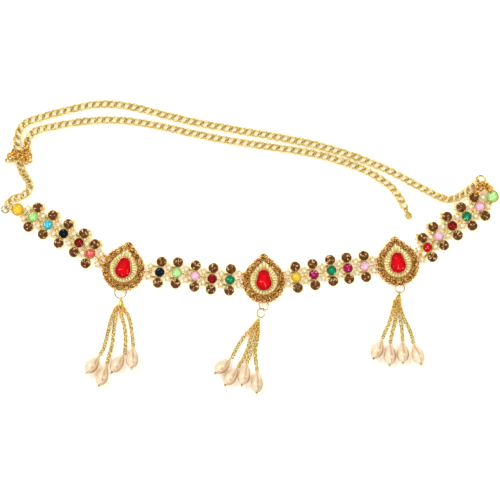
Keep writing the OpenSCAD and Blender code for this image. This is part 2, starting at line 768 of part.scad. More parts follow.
module pearls(m) {
    color("bisque") laid() for (k = [0:3])
        behind_strand(m, k) rotate_extrude() polygon(pearl_outline);
}

module head_pins(m) {
    color(gold) laid() for (k = [0:3]) behind_strand(m, k) {
        translate([0, 0, pin_from]) cylinder(h = pearl_l + pin_to - pin_from, d = pin_wire, $fn = 24);
        translate([0, 0, pearl_l + pin_head_gap + pin_head_r]) sphere(pin_head_r);
        translate([0, 0, pin_from - pin_eye_r]) rotate([90, 0, 0]) wire_ring(pin_eye_r, pin_eye_wire);
    }
}

module left_end_ring() {
    color(gold) laid() translate([left_ring.x, left_ring.y, left_ring.z])
        rotate([ring_lean, 0, 0]) wire_ring(left_ring[3], end_ring_wire);
}

module right_end_ring() {
    color(gold) laid() translate([right_ring.x, right_ring.y, right_ring.z])
        rotate([-ring_lean, 0, 0]) wire_ring(right_ring[3], end_ring_wire);
}

// The drop at the end of the tail: a round eye fused to a small flat leaf
tag_at = tail_run[len(tail_run) - 1];
tag_z = 1.56;
tag_turn = -63;
tag_tilt = 45;
tag_eye_r = 1.6;
tag_eye_wire = 0.8;
leaf_at = [3.6, 0, -0.9];
leaf_t = 1;
leaf_round = [2.3, 0.8];
leaf_tip = [0.8, -2.1];
module chain_end_tag() {
    color(gold) laid() translate([tag_at.x, tag_at.y, tag_z]) rotate([0, 0, tag_turn]) {
        rotate([-tag_tilt, 0, 0]) wire_ring(tag_eye_r, tag_eye_wire);
        translate(leaf_at) linear_extrude(leaf_t) rotate([0, 0, -90])
            pear(leaf_round[0], leaf_round[1], leaf_tip[0], leaf_tip[1]);
    }
}

// The single link between the right end piece and its ring
connector_out = 3.4;
connector_roll = 45;
connector_way = unit([right_ring.x, right_ring.y] - right_eye);
connector_mid = right_eye + connector_out * connector_way;
connector = link_frame([connector_mid.x, connector_mid.y, corner_z],
    [connector_way.x, connector_way.y, 0], connector_roll);

module waist_chain() {
    color(gold) laid()
        chain(concat([connector], bend_frames(right_bend),
            run_frames(waist_run, waist_ends), bend_frames(left_curl)));
}

module tail_chain() {
    color(gold) laid() chain(concat(bend_frames(tail_knot), run_frames(tail_run, tail_ends)));
}

waist_chain();
tail_chain();
chain_end_tag();
left_end_ring();
right_end_ring();
left_end_setting();
right_end_setting();
stone(0);  // left_end_stone
stone(last);  // right_end_stone
for (r = [0:3]) {
    setting_run(run_at[r]);
    topaz_run(run_at[r]);
}
for (k = [0:len(columns) - 1]) {
    stone(columns[k]);
}
for (m = [0:2]) {
    medallion(m);
    red_stone(m);
    tassel_rings(m);
    tassel_cap(m);
    tassel_strands(m);
    pearls(m);
    head_pins(m);
}
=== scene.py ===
# Waist chain laid flat on its back, seen from straight above.
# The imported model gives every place; this script adds cut stones, smooth links, pearls and finishes.
import math

import bpy
import numpy as np
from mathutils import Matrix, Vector


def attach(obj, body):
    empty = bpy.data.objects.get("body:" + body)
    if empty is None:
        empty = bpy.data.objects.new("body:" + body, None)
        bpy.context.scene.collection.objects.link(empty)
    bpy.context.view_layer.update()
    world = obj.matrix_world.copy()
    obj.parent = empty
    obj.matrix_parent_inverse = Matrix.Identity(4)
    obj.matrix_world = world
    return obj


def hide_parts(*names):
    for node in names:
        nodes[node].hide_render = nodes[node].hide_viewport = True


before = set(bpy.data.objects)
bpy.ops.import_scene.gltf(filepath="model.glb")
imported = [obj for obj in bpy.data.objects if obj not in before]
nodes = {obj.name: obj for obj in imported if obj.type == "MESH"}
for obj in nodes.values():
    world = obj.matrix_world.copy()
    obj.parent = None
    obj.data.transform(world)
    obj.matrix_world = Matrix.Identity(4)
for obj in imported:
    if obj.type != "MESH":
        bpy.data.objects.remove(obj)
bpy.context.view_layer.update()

mm = 0.001
fullTurn = 2 * math.pi
layMiddle = (-0.2, 1.87)  # mm, middle of the laid out chain in the drawing that the places below come from
runNames = ["left", "inner_left", "inner_right", "right"]
medalNames = ["left", "centre", "right"]

view = {
    "height": 1.5,  # m above the floor
    "pictureWidth": 0.3333,  # m of floor from edge to edge
    "centre": (0.0002, -0.00187),
    "sensor": 36.0,
    "nearest": 0.01,
}


def makeCamera():
    # straight down; the lens is the sensor times the height over the width of floor in the picture
    data = bpy.data.cameras.new("overhead")
    data.sensor_width = view["sensor"]
    data.lens = view["sensor"] * view["height"] / view["pictureWidth"]
    data.clip_start = view["nearest"]
    camera = bpy.data.objects.new("overhead", data)
    camera.location = (*view["centre"], view["height"])
    bpy.context.scene.collection.objects.link(camera)
    bpy.context.scene.camera = camera


makeCamera()


# Finishes: a wire is one output socket, and arithmetic on wires adds Math nodes
class Wire:
    def __init__(self, tree, socket):
        self.tree = tree
        self.socket = socket

    def maths(self, operation, *values):
        node = self.tree.nodes.new("ShaderNodeMath")
        node.operation = operation
        for place, value in zip(node.inputs, values):
            plug(self.tree, place, value)
        return Wire(self.tree, node.outputs[0])

    def __add__(self, other):
        return self.maths("ADD", self, other)

    def __radd__(self, other):
        return self.maths("ADD", other, self)

    def __sub__(self, other):
        return self.maths("SUBTRACT", self, other)

    def __rsub__(self, other):
        return self.maths("SUBTRACT", other, self)

    def __mul__(self, other):
        return self.maths("MULTIPLY", self, other)

    def __rmul__(self, other):
        return self.maths("MULTIPLY", other, self)

    def __gt__(self, other):
        return self.maths("GREATER_THAN", self, other)


def plug(tree, place, value):
    # a wire is linked, a plain value is set on the socket
    if isinstance(value, Wire):
        tree.links.new(value.socket, place)
    else:
        place.default_value = value


class Finish:
    # one material round one Principled shader; constants go straight onto its sockets
    def __init__(self, name, **constants):
        self.material = bpy.data.materials.new(name)
        self.material.use_nodes = True
        self.tree = self.material.node_tree
        self.shader = self.tree.nodes["Principled BSDF"]
        for socket, value in constants.items():
            self.give(socket.replace("_", " "), value)

    def give(self, socket, value):
        if isinstance(value, tuple) and len(value) == 3:
            value = (*value, 1.0)
        plug(self.tree, self.shader.inputs[socket], value)

    def node(self, kind, settings, output, **inputs):
        node = self.tree.nodes.new(kind)
        for key, value in settings.items():
            setattr(node, key, value)
        for key, value in inputs.items():
            plug(self.tree, node.inputs[key.replace("_", " ")], value)
        return Wire(self.tree, node.outputs[output])

    def place(self):
        return self.node("ShaderNodeTexCoord", {}, "Object")

    def cloud(self, scale, detail=2.0):
        return self.node("ShaderNodeTexNoise", {}, 0, Vector=self.place(), Scale=scale, Detail=detail)

    def mark(self, name):
        return self.node("ShaderNodeAttribute", {"attribute_name": name}, "Fac")

    def blend(self, share, first, second):
        node = self.tree.nodes.new("ShaderNodeMix")
        node.data_type = "RGBA"
        for index, value in ((0, share), (6, first), (7, second)):
            plug(self.tree, node.inputs[index], (*value, 1.0) if isinstance(value, tuple) else value)
        return Wire(self.tree, node.outputs[2])

    def smoothly(self, value, low, high):
        return self.node("ShaderNodeMapRange", {"interpolation_type": "SMOOTHSTEP"}, 0,
                         Value=value, From_Min=low, From_Max=high)

    def relief(self, height, strength, distance):
        bump = self.node("ShaderNodeBump", {}, 0, Height=height, Strength=strength, Distance=distance)
        self.give("Normal", bump)


metalLook = {
    "scratch": 2600.0,  # per metre
    "scratchRelief": (0.12, 0.0001),  # strength, depth in m
    "cloudEdges": (0.35, 0.65),  # cloud values where the deep tone ends and where the bright one begins
    "shadeEdges": (0.3, 0.7),
    "shadeLeast": 0.4,  # share of a shade where it is thinnest
    # deep tone, bright tone, patches per metre, lowest and highest roughness, share of bare metal
    "goldPlate": ((0.56, 0.36, 0.05), (1.0, 0.78, 0.27), 420.0, (0.16, 0.36), 0.75),
    "linkGold": ((0.70, 0.48, 0.12), (0.97, 0.82, 0.37), 260.0, (0.24, 0.40), 0.65),
    "strandGold": ((0.42, 0.29, 0.055), (0.96, 0.76, 0.28), 700.0, (0.30, 0.45), 0.5),
    "creamGold": ((0.80, 0.52, 0.14), (1.0, 0.89, 0.47), 500.0, (0.20, 0.34), 0.5),
    "wireBronze": ((0.20, 0.13, 0.05), (0.70, 0.55, 0.30), 900.0, (0.2, 0.35), 0.6),
    "wreathGold": ((0.50, 0.20, 0.012), (1.0, 0.58, 0.12), 900.0, (0.18, 0.36), 0.7),
    "fluteGold": ((0.86, 0.74, 0.30), (1.0, 0.94, 0.60), 380.0, (0.2, 0.34), 0.5),
    "roseGold": ((0.86, 0.38, 0.20), (1.0, 0.68, 0.44), 380.0, (0.18, 0.32), 0.7),
    # tones that marks blend in: painted shade in the flute valleys and at the link joints, and the darker tone
    # where the strands gather
    "valleyShadeTone": (0.64, 0.48, 0.15),
    "gatherTone": (0.88, 0.46, 0.05),
    "jointTone": (0.30, 0.18, 0.025),
}


def metalFinish(name, shaded="", shade=""):
    # plated metal: soft clouds between two tones, roughness from finer clouds, fine polishing marks as bump
    deep, bright, patch, roughness, metallic = metalLook[name]
    finish = Finish(name, Metallic=metallic)
    clouds = finish.cloud(patch, 4.0)
    grain = finish.cloud(metalLook["scratch"], 3.0)
    tone = finish.blend(finish.smoothly(clouds, *metalLook["cloudEdges"]), deep, bright)
    # where a mark is named, a darker tone is blended in by it: painted shade at the link joints and in the
    # flute valleys
    if shaded:
        least = metalLook["shadeLeast"]
        uneven = finish.smoothly(finish.cloud(patch, 1.0), *metalLook["shadeEdges"]) * (1 - least) + least
        tone = finish.blend(finish.mark(shaded) * uneven, tone, metalLook[shade])
    finish.give("Base Color", tone)
    finish.give("Roughness", grain * (roughness[1] - roughness[0]) + roughness[0])
    finish.relief(grain, *metalLook["scratchRelief"])
    return finish.material


glassLook = {
    "roughness": 0.07,
    "bending": 1.6,
    "coat": 0.4,  # share of the stone's shine
    "coatRoughness": 0.03,
    "facetShare": 0.65,  # how far a facet's own tone goes towards the bright one
}


def gemFinish(name, deep, bright, paintedGlint, paintedGlintShare, middle, shine=0.14):
    # cut glass over foil: each facet takes its own tone, a few take a painted glint, and painted light makes
    # the middle brighter than the rim
    finish = Finish(name, Roughness=glassLook["roughness"], IOR=glassLook["bending"], Specular_IOR_Level=shine,
                    Coat_Weight=shine * glassLook["coat"], Coat_Roughness=glassLook["coatRoughness"])
    facet = finish.mark("facet")
    # painted light: the middle of each stone is brighter than its rim
    centre = 1 - finish.mark("reach")
    body = finish.blend(facet * glassLook["facetShare"] + centre * middle, deep, bright)
    # painted glints: facets whose draw is above the threshold take the glint tone
    finish.give("Base Color", finish.blend(facet > 1 - paintedGlintShare, body, paintedGlint))
    return finish.material


gold, creamGold, wreathGold, roseGold, wireBronze = (
    metalFinish(name) for name in ("goldPlate", "creamGold", "wreathGold", "roseGold", "wireBronze")
)
linkGold = metalFinish("linkGold", "joint", "jointTone")
fluteGold = metalFinish("fluteGold", "valleyShade", "valleyShadeTone")
strandGold = metalFinish("strandGold", "gather", "gatherTone")
print("finishes ready")


# Mesh making
def gridFaces(rows, columns, wrapRows=False, wrapColumns=True):
    # quads between the points of a grid, closed round either way where asked
    r = np.arange(rows if wrapRows else rows - 1)
    c = np.arange(columns if wrapColumns else columns - 1)
    r, c = np.meshgrid(r, c, indexing="ij")
    row, nextRow = r * columns, (r + 1) % rows * columns
    nextColumn = (c + 1) % columns
    return np.stack([row + c, row + nextColumn, nextRow + nextColumn, nextRow + c], -1).reshape(-1, 4)


def cutToTriangles(quads):
    return np.concatenate([quads[:, [0, 1, 2]], quads[:, [0, 2, 3]]])


def fan(ring, tip):
    # triangles from each side of a ring of point numbers to one tip
    return np.stack([ring, np.roll(ring, -1), np.full(len(ring), tip)], -1)


def lidsOf(rows, columns):
    # the first and last row of a grid, each as one many-sided face
    last = (rows - 1) * columns
    return [np.arange(columns)[None, ::-1], last + np.arange(columns)[None]]


def facedOut(points, groups):
    # turns every face round if the closed shape's signed volume is negative
    volume = 0.0
    for group in groups:
        for k in range(1, group.shape[1] - 1):
            a, b, c = points[group[:, 0]], points[group[:, k]], points[group[:, k + 1]]
            volume += np.einsum("ij,ij->", a, np.cross(b, c))
    return groups if volume > 0 else [group[:, ::-1] for group in groups]


def buildPiece(name, points, groups, finish, stands=(), smooth=True, faceMarks=None, pointMarks=None):
    # points in metres and faces of any size go into one mesh; marks become attributes that finishes read
    mesh = bpy.data.meshes.new(name)
    mesh.vertices.add(len(points))
    mesh.vertices.foreach_set("co", np.asarray(points, np.float32).ravel())
    sizes = np.concatenate([np.full(len(group), group.shape[1]) for group in groups])
    corners = np.concatenate([group.ravel() for group in groups])
    mesh.loops.add(len(corners))
    mesh.loops.foreach_set("vertex_index", corners.astype(np.int32))
    mesh.polygons.add(len(sizes))
    starts = np.concatenate([[0], np.cumsum(sizes)[:-1]])
    mesh.polygons.foreach_set("loop_start", starts.astype(np.int32))
    mesh.polygons.foreach_set("use_smooth", np.full(len(sizes), smooth))
    mesh.update(calc_edges=True)
    for marks, domain in ((faceMarks, "FACE"), (pointMarks, "POINT")):
        for key, values in (marks or {}).items():
            data = mesh.attributes.new(key, "FLOAT", domain).data
            data.foreach_set("value", np.asarray(values, np.float32))
    mesh.materials.append(finish)
    piece = bpy.data.objects.new(name, mesh)
    bpy.context.scene.collection.objects.link(piece)
    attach(piece, "root")
    if stands:
        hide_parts(*stands)
    return piece


def unit(vectors):
    # each row divided by its own length
    return vectors / np.linalg.norm(vectors, axis=1, keepdims=True)


def repeated(points, groups, middles, axes):
    # every copy is its middle plus the shape's points along its own three axes
    copies = middles[:, None, :] + np.einsum("pk,nkj->npj", points, axes)
    shift = np.arange(len(middles)) * len(points)
    every = [(shift[:, None, None] + group[None]).reshape(-1, group.shape[1]) for group in groups]
    return copies.reshape(-1, 3), every


def ringAround(path, across, up, radius, sides):
    # a closed tube: each path point carries a circle in the plane of across and up
    turn = np.arange(sides) * fullTurn / sides
    circle = np.cos(turn)[None, :, None] * across[:, None, :] + np.sin(turn)[None, :, None] * up[:, None, :]
    return (path[:, None, :] + radius * circle).reshape(-1, 3)


meshReading = {
    "joined": 2e-6,  # m, points nearer than this are one
    "level": 5e-6,  # m, how far a flat floor may be from its height
    "floorSpan": 1.2,  # least width of a cup's floor, in radii
}


def joinedTriangles(node):
    # a node's points, joined where they round to the same place, and its triangles between them
    mesh = nodes[node].data
    points = np.empty(len(mesh.vertices) * 3, np.float32)
    mesh.vertices.foreach_get("co", points)
    corners = np.empty(len(mesh.loops), np.int32)
    mesh.loops.foreach_get("vertex_index", corners)
    points = points.reshape(-1, 3).astype(float)
    rounded = np.round(points / meshReading["joined"]).astype(np.int64)
    _, first, joined = np.unique(rounded, axis=0, return_index=True, return_inverse=True)
    return points[first], joined.ravel()[corners].reshape(-1, 3)


def bodiesOf(points, triangles):
    # each point takes the lowest number among the points it is joined to, until nothing changes
    label = np.arange(len(points))
    while True:
        lowest = label[triangles].min(1)
        spread = label.copy()
        np.minimum.at(spread, triangles.ravel(), np.repeat(lowest, 3))
        spread = spread[spread]
        if (spread == label).all():
            break
        label = spread
    used = np.unique(triangles)
    return [points[used[label[used] == k]] for k in np.unique(label[used])]


def looseSolids(node):
    return bodiesOf(*joinedTriangles(node))


def levelDiscs(node, height, radius):
    # middles of the flat round floors that a node has at one height
    points, triangles = joinedTriangles(node)
    flat = triangles[(np.abs(points[triangles][:, :, 2] - height) < meshReading["level"]).all(1)]
    wide = meshReading["floorSpan"] * radius
    floors = [floor for floor in bodiesOf(points, flat) if np.ptp(floor[:, 0]) > wide]
    return np.array([(floor.min(0) + floor.max(0)) / 2 for floor in floors])


def pathThrough(points, count, samplesPerPoint=60):
    # a smooth curve through the points, each span a cubic of the four points around it, evenly by length
    points = np.asarray(points, float)
    u = np.linspace(0, len(points) - 1, samplesPerPoint * len(points))
    i = np.minimum(u.astype(int), len(points) - 2)
    t = (u - i)[:, None]
    a, b, c, d = (points[np.clip(i + k, 0, len(points) - 1)] for k in (-1, 0, 1, 2))
    square, cube = 2 * a - 5 * b + 4 * c - d, 3 * b - a - 3 * c + d
    dense = 0.5 * (2 * b + (c - a) * t + square * t**2 + cube * t**3)
    length = np.concatenate([[0], np.cumsum(np.linalg.norm(np.diff(dense, axis=0), axis=1))])
    steps = np.linspace(0, length[-1], count)
    return np.stack([np.interp(steps, length, dense[:, k]) for k in range(3)], -1), length[-1]


def framesAlong(route, pitch, roll):
    # even places along a route, and at each the axes along it, to the side and up, the last two rolled
    # about the first by the angle, to the left and to the right in turn
    _, length = pathThrough(route, 2)
    path, _ = pathThrough(route, int(length / pitch) + 1)
    along = unit(np.gradient(path, axis=0))
    level = unit(np.cross([0.0, 0.0, 1.0], along))
    up = np.cross(along, level)
    roll = math.radians(roll) * np.where(np.arange(len(path)) % 2 == 0, 1, -1)[:, None]
    side = np.cos(roll) * level + np.sin(roll) * up
    return path, np.stack([along, side, np.cross(along, side)], 1)


# Curb chain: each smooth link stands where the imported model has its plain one
curbLink = {
    "length": 6.5,  # mm, along the wire's middle line
    "width": 3.8,
    "wire": 1.5,
    "twist": 45.0,  # degrees that each end turns out of the link's plane
    "steps": 16,
    "sides": 6,
    "joint": (0.66, 1.0),  # cos t from which painted shade darkens a link's end, and where it is darkest
    "lift": 0.2,
    "lieFlat": 0.85,  # share of each link's roll that is taken back, so that its face looks up
    "slant": 15.0,  # degrees that each link lies across the run
}


def curbShape():
    # an oval wire loop, x = a cos t, whose sideways part b sin t is turned about x by the twist times cos t
    t = (np.arange(curbLink["steps"]) + 0.5) * fullTurn / curbLink["steps"]
    turn = math.radians(curbLink["twist"]) * np.cos(t)

    def middleLine(t):
        turn = math.radians(curbLink["twist"]) * np.cos(t)
        side = curbLink["width"] / 2 * np.sin(t)
        return np.stack([curbLink["length"] / 2 * np.cos(t), side * np.cos(turn), side * np.sin(turn)], -1)

    near = 0.01  # step in t that gives the wire's direction
    along = unit(middleLine(t + near) - middleLine(t - near))
    across = unit(np.cross(along, np.stack([np.zeros_like(t), -np.sin(turn), np.cos(turn)], -1)))
    up = np.cross(across, along)
    points = ringAround(middleLine(t), across, up, curbLink["wire"] / 2, curbLink["sides"]) * mm
    faces = gridFaces(curbLink["steps"], curbLink["sides"], wrapRows=True)
    low, high = curbLink["joint"]
    # painted shade at both ends of each link, where its neighbours pass over and under
    joint = np.repeat(np.clip((np.abs(np.cos(t)) - low) / (high - low), 0, 1), curbLink["sides"])
    return points, facedOut(points, [faces]), joint


def makeChain(node, name):
    # a link's axes are the main directions in which its plain solid spreads, from the longest to the thinnest;
    # its face is turned up by the share lieFlat, and the link is turned about its face by the slant
    points, groups, joint = curbShape()
    links = looseSolids(node)
    middles = np.array([link.mean(0) for link in links])
    spreads = np.array([np.cov((link - link.mean(0)).T) for link in links])
    axes = np.linalg.eigh(spreads)[1][:, :, ::-1].transpose(0, 2, 1)
    along, face = axes[:, 0], axes[:, 2] * np.where(axes[:, 2, 2:] < 0, -1, 1)
    upward = [0.0, 0.0, 1.0] - along[:, 2:] * along
    face = unit(face + (upward - face) * curbLink["lieFlat"])
    slant, side = math.radians(curbLink["slant"]), np.cross(face, along)
    across = math.cos(slant) * side - math.sin(slant) * along
    axes = np.stack([np.cross(across, face), across, face], 1)
    middles[:, 2] += curbLink["lift"] * mm
    allPoints, allGroups = repeated(points, groups, middles, axes)
    buildPiece(name, allPoints, allGroups, linkGold, [node],
               pointMarks={"joint": np.tile(joint, len(links))})
    return len(links)


print("links", makeChain("waist_chain", "waistLinks"), makeChain("tail_chain", "tailLinks"))

# Bunched links: short runs piled where the photograph shows a tangle; places in mm as for the strands
bunchLook = {
    "pitch": 1.9,
    "roll": 52.0,  # degrees, to the left and right in turn
    "share": 0.74,  # of a chain link's size
    "knot": [
        [[-159, 63.6, 5.2], [-156, 65.9, 5.4], [-152.7, 64.9, 5.6], [-149.7, 62.2, 5.4],
         [-147.2, 60.2, 4.8]],
        [[-158.6, 61.4, 4.2], [-155.3, 62.6, 5.2], [-152.3, 61, 5.2], [-149.6, 58.9, 4.4]],
        [[-146.5, 63.2, 4], [-147.4, 66.3, 4.6], [-148.6, 69.4, 4.2]],
    ],
    "rightEnd": [
        [[150.6, 41, 4.4], [152.7, 43.6, 4.6], [156, 44, 4.2], [159.2, 42, 3.6]],
        [[151.2, 38.2, 4.6], [154, 40.8, 4.6], [157.2, 41, 4.2], [160, 38.8, 3.4]],
    ],
}


def makeBunch(name, routes):
    # a smaller curb link at every place along each route
    points, groups, _ = curbShape()
    runs = [framesAlong(route, bunchLook["pitch"], bunchLook["roll"]) for route in routes]
    middles = np.concatenate([(path - [*layMiddle, 0]) * mm for path, _ in runs])
    axes = np.concatenate([turned for _, turned in runs])
    allPoints, allGroups = repeated(points * bunchLook["share"], groups, middles, axes)
    buildPiece(name, allPoints, allGroups, wreathGold)
    return len(middles)


print("bunched links", makeBunch("knotLinks", bunchLook["knot"]),
      makeBunch("rightEndLinks", bunchLook["rightEnd"]))


# Cut stones
gemCut = {
    # share of the radius and of the height at even and odd points, from the culet up to the table
    "rings": [
        (0.08, 0.08, 0.0, 0.0),
        (0.62, 0.58, 0.26, 0.24),
        (1.0, 1.0, 0.50, 0.50),
        (1.0, 1.0, 0.56, 0.56),
        (0.78, 0.84, 0.82, 0.74),
        (0.56, 0.52, 1.0, 1.0),
        (0.24, 0.32, 1.0, 1.0),
    ],
    "wave": (3, 5),  # sectors of painted reflection round a stone, and how fast they turn with its own angle
    "seed": 7,
}
dice = np.random.default_rng(gemCut["seed"])


def gemShape(sides, radius, height):
    # rings of points round an upright axis; even and odd points differ, which breaks the cone into kites
    turn = np.arange(sides) * fullTurn / sides
    odd = np.arange(sides) % 2 == 1
    rings = []
    for evenReach, oddReach, evenHeight, oddHeight in gemCut["rings"]:
        reach = np.where(odd, oddReach, evenReach) * radius
        level = np.where(odd, oddHeight, evenHeight) * height
        rings.append(np.stack([reach * np.cos(turn), reach * np.sin(turn), level], -1))
    points = np.concatenate(rings)
    walls = cutToTriangles(gridFaces(len(rings), sides))
    table = fan(len(points) - sides + np.arange(sides), len(points))
    base = fan(np.arange(sides), len(points) + 1)[:, ::-1]
    points = np.concatenate([points, [[0, 0, height], [0, 0, 0]]])
    reach = np.hypot(points[:, 0], points[:, 1]) / radius
    return points, [np.concatenate([walls, table, base])], reach


def makeGems(name, seats, radius, height, sides, finish, stands=(), paintedSideLight=0.0, paintedSectorShare=0.0):
    # one stone at each seat, each turned by its own angle a; a facet's tone mixes a seeded draw and, by its
    # share, the painted reflection wave (1 + sin(3 * bearing + 5 a)) / 2, and grows by a share times y /
    # radius, painted light on the upper side
    points, groups, reach = gemShape(sides, radius, height)
    groups = facedOut(points, groups)
    seats = np.asarray(seats)
    spin = dice.uniform(0, fullTurn, len(seats))
    zero, one = np.zeros(len(seats)), np.ones(len(seats))
    axes = np.stack([
        np.stack([np.cos(spin), np.sin(spin), zero], -1),
        np.stack([-np.sin(spin), np.cos(spin), zero], -1),
        np.stack([zero, zero, one], -1),
    ], 1)
    allPoints, allGroups = repeated(points, groups, seats, axes)
    tones = dice.uniform(0, 1, len(allGroups[0]))
    offsets = (allPoints - np.repeat(seats, len(points), 0))[allGroups[0]].mean(1)
    bearing = np.arctan2(offsets[:, 1], offsets[:, 0])
    sectors, hurry = gemCut["wave"]
    wave = (1 + np.sin(sectors * bearing + hurry * np.repeat(spin, len(groups[0])))) / 2
    tones = np.clip(tones * (1 - paintedSectorShare) + wave * paintedSectorShare + paintedSideLight * offsets[:, 1] / radius, 0, 1)
    buildPiece(name, allPoints, allGroups, finish, stands, smooth=False,
               faceMarks={"facet": tones}, pointMarks={"reach": np.tile(reach, len(seats))})


def seatsOf(node):
    # lowest middle point of each loose stone in a node
    boxes = [(solid.min(0), solid.max(0)) for solid in looseSolids(node)]
    return [((low[0] + high[0]) / 2, (low[1] + high[1]) / 2, low[2]) for low, high in boxes]


beltStones = {
    "radius": 3.12,  # mm
    "endRadius": 3.72,
    "height": 3.5,
    "sides": 16,
    "order": [
        "light_green", "turquoise", "navy", "maroon", "coral",
        "navy", "pale_green", "pink", "dark_red", "green",
        "yellow", "magenta", "green", "magenta", "pink",
        "red", "pink", "dark_red", "green", "pink",
    ],
    "ends": {"left_end_stone": "yellow", "right_end_stone": "light_green"},
    # deep tone, bright tone, painted glint tone, share of facets that take it, extra painted light in the
    # middle
    "tones": {
        "light_green": ((0.16, 0.54, 0.08), (0.55, 0.96, 0.32), (0.90, 1.0, 0.78), 0.10, 0.5),
        "pale_green": ((0.22, 0.60, 0.14), (0.62, 0.97, 0.42), (0.92, 1.0, 0.84), 0.10, 0.5),
        "turquoise": ((0.004, 0.28, 0.42), (0.06, 0.72, 0.86), (0.70, 0.97, 1.0), 0.07, 0.5),
        "navy": ((0.0, 0.001, 0.003), (0.002, 0.006, 0.028), (0.05, 0.16, 0.30), 0.05, 0.15),
        "maroon": ((0.04, 0.0, 0.001), (0.36, 0.002, 0.006), (0.85, 0.14, 0.12), 0.05, 0.3),
        "coral": ((0.55, 0.02, 0.02), (0.98, 0.14, 0.14), (1.0, 0.62, 0.52), 0.08, 0.5),
        "pink": ((0.76, 0.28, 0.46), (1.0, 0.63, 0.78), (1.0, 0.90, 0.94), 0.12, 0.5),
        "dark_red": ((0.05, 0.0, 0.001), (0.42, 0.002, 0.006), (0.90, 0.14, 0.12), 0.05, 0.3),
        "green": ((0.001, 0.06, 0.025), (0.005, 0.34, 0.13), (0.30, 0.85, 0.55), 0.06, 0.45),
        "yellow": ((0.70, 0.36, 0.004), (1.0, 0.68, 0.02), (1.0, 0.93, 0.50), 0.10, 0.5),
        "magenta": ((0.12, 0.0, 0.03), (0.60, 0.004, 0.13), (0.95, 0.40, 0.58), 0.06, 0.4),
        "red": ((0.26, 0.001, 0.002), (0.80, 0.004, 0.01), (1.0, 0.40, 0.30), 0.05, 0.4),
    },
}
slotOf = {tone: tone for tone in beltStones["tones"]}
slotOf["pale_green"] = "light_green"
stoneFinish = {tone: gemFinish(tone + "Glass", *values) for tone, values in beltStones["tones"].items()}


def makeBeltStone(name, node, radius, tone):
    makeGems(name, seatsOf(node), radius * mm, beltStones["height"] * mm, beltStones["sides"],
             stoneFinish[tone], [node])


beltNodes = [f"stone_{number:02d}" for number in range(1, len(beltStones["order"]) + 1)]
for node, tone in zip(beltNodes, beltStones["order"]):
    makeBeltStone("beltStone" + node[-2:], node, beltStones["radius"], tone)
for node, tone in beltStones["ends"].items():
    makeBeltStone(node.split("_")[0] + "EndGem", node, beltStones["endRadius"], tone)
print("belt stones", len(beltNodes))

topazStones = {
    "radius": 3.36,  # mm
    "height": 3.5,
    "sides": 16,
    "tones": ((0.016, 0.004, 0.001), (0.36, 0.125, 0.03), (0.88, 0.63, 0.34), 0.18, 0.06),
    # painted light towards the upper side of each stone, and the share of the painted reflection sectors
    "paintedSideLight": 0.1,
    "paintedSectorShare": 0.3,
}
topazGlass = gemFinish("topazGlass", *topazStones["tones"])
for run in runNames:
    node = "topaz_" + run
    makeGems("topazRow_" + run, seatsOf(node), topazStones["radius"] * mm, topazStones["height"] * mm,
             topazStones["sides"], topazGlass, [node], topazStones["paintedSideLight"], topazStones["paintedSectorShare"])

smallStones = {
    "sides": 8,
    "crystalFloor": 1.2,  # mm, height of a crystal cup's floor
    "crystalCup": 1.36,
    "crystalRadius": 1.7,
    "crystalHeight": 2.0,
    "crystalTones": ((0.62, 0.50, 0.20), (1.0, 0.93, 0.64), (1.0, 1.0, 0.94), 0.3, 0.4),
    "crystalShine": 0.25,
    "wreathFloor": 2.0,
    "wreathCup": 1.72,
    "wreathRadius": 1.95,
    "wreathHeight": 2.6,
    "innerRadius": 0.95,
    "innerHeight": 1.3,
    "wreathTones": ((0.02, 0.004, 0.001), (0.64, 0.20, 0.018), (1.0, 0.70, 0.26), 0.22, 0.1),
}
crystalGlass = gemFinish("crystalGlass", *smallStones["crystalTones"], shine=smallStones["crystalShine"])
wreathGlass = gemFinish("honeyTopaz", *smallStones["wreathTones"])
crystalNodes = ["settings_" + run for run in runNames] + ["medallion_" + name for name in medalNames]
crystalSeats = np.concatenate([
    levelDiscs(node, smallStones["crystalFloor"] * mm, smallStones["crystalCup"] * mm)
    for node in crystalNodes + ["right_end_setting"]
])
wreathSeats = [
    levelDiscs("medallion_" + name, smallStones["wreathFloor"] * mm, smallStones["wreathCup"] * mm)
    for name in medalNames
]


def makeSmallStones(name, seats, kind, finish):
    makeGems(name, seats, smallStones[kind + "Radius"] * mm, smallStones[kind + "Height"] * mm,
             smallStones["sides"], finish)


makeSmallStones("crystals", crystalSeats, "crystal", crystalGlass)
makeSmallStones("wreathStones", np.concatenate(wreathSeats), "wreath", wreathGlass)
print("crystals", len(crystalSeats), "wreath stones", [len(seats) for seats in wreathSeats])


# Beads: claws that hold the stones, and the granules soldered round crystals and wreath
beadLook = {
    "rows": 5,
    "columns": 6,
    "fromTo": (-0.5, math.pi / 2 - 0.25),  # latitude of a bead's foot and of its flat top
    "clawsRound": 4,
    "clawStart": math.pi / 4,
    "clawHeight": 3.35,  # mm
    "clawReach": 3.08,
    "clawRadius": 0.42,
    "granulesRound": 5,
    "granuleStart": 0.3,
    "granuleHeight": 1.75,
    "granuleReach": 2.15,
    "granuleRadius": 0.68,
    "wreathRadius": 1.15,
    "wreathOut": 1.7,
    "wreathIn": 1.75,
    "wreathHeight": 3.0,
    "wreathGap": 6.45,  # mm, seats this far apart are no neighbours
    "sideTurns": (-54.0, -18.0, 18.0, 54.0),  # degrees
    "sideReach": 4.2,
    "sideHeight": 2.5,
    "sideRadius": 1.15,
}


